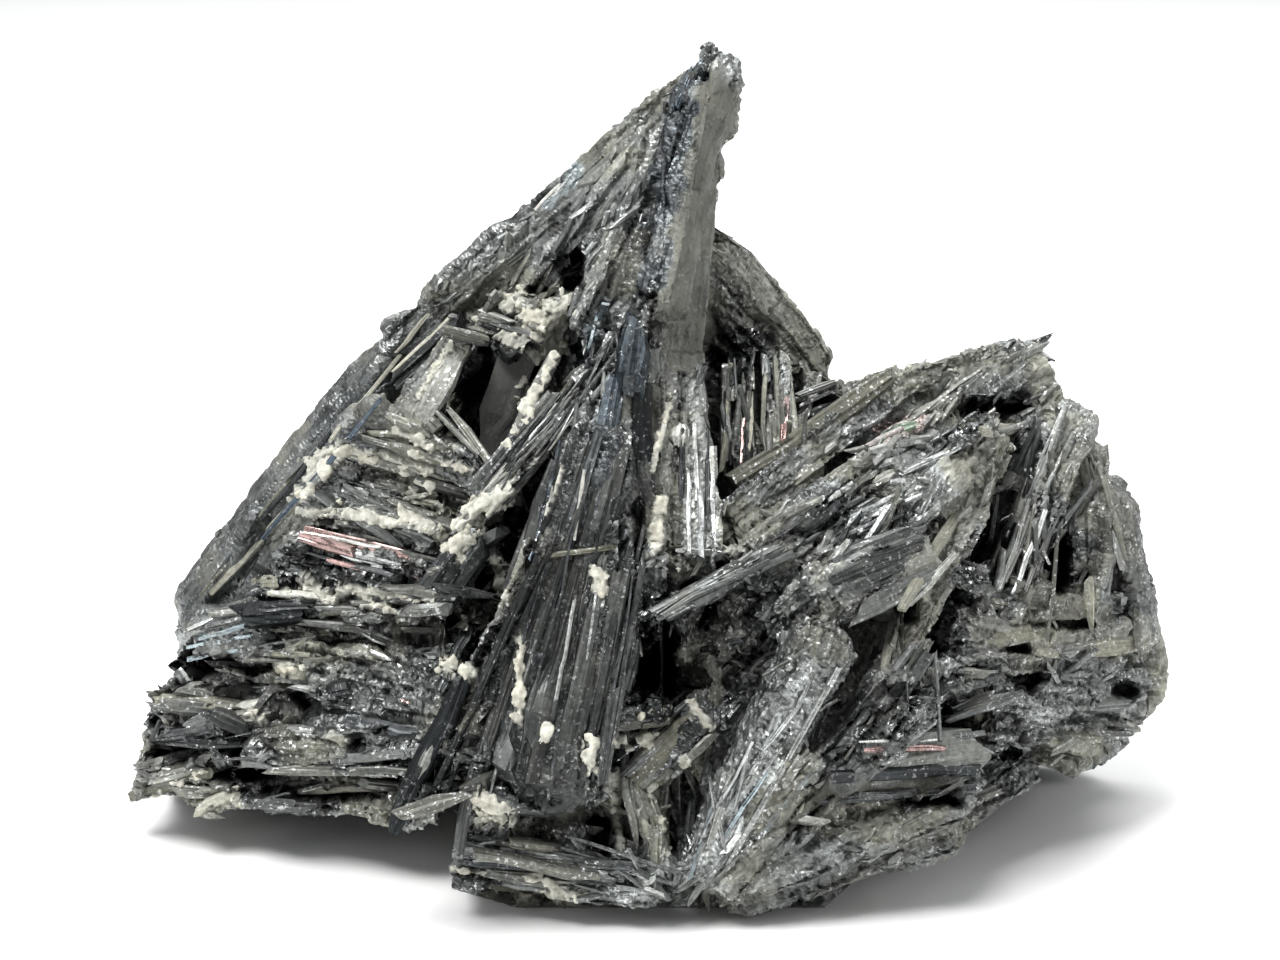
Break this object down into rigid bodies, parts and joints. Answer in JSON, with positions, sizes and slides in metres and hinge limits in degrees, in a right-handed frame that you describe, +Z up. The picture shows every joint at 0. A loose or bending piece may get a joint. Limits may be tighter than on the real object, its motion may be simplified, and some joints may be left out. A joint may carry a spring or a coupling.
{
  "type": "stibnite crystal cluster",
  "caption": "Cluster of long striated metallic grey stibnite blades grown together, rising to a leaning spire, with a flat broken foot to stand on.",
  "frame": {"origin": "on the flat broken foot, below the middle of the cluster", "axes": "+Z up from the foot, +X to the right of the front view along the cluster's widest direction, +Y to the back"},
  "size_m": [0.1253, 0.0763, 0.095],
  "materials": {
    "stibnite": "metallic lead grey, striated blades from bright to matte"
  },
  "bodies": {
    "root": {"stibnite_cluster": "stibnite"}
  },
  "joints": []
}
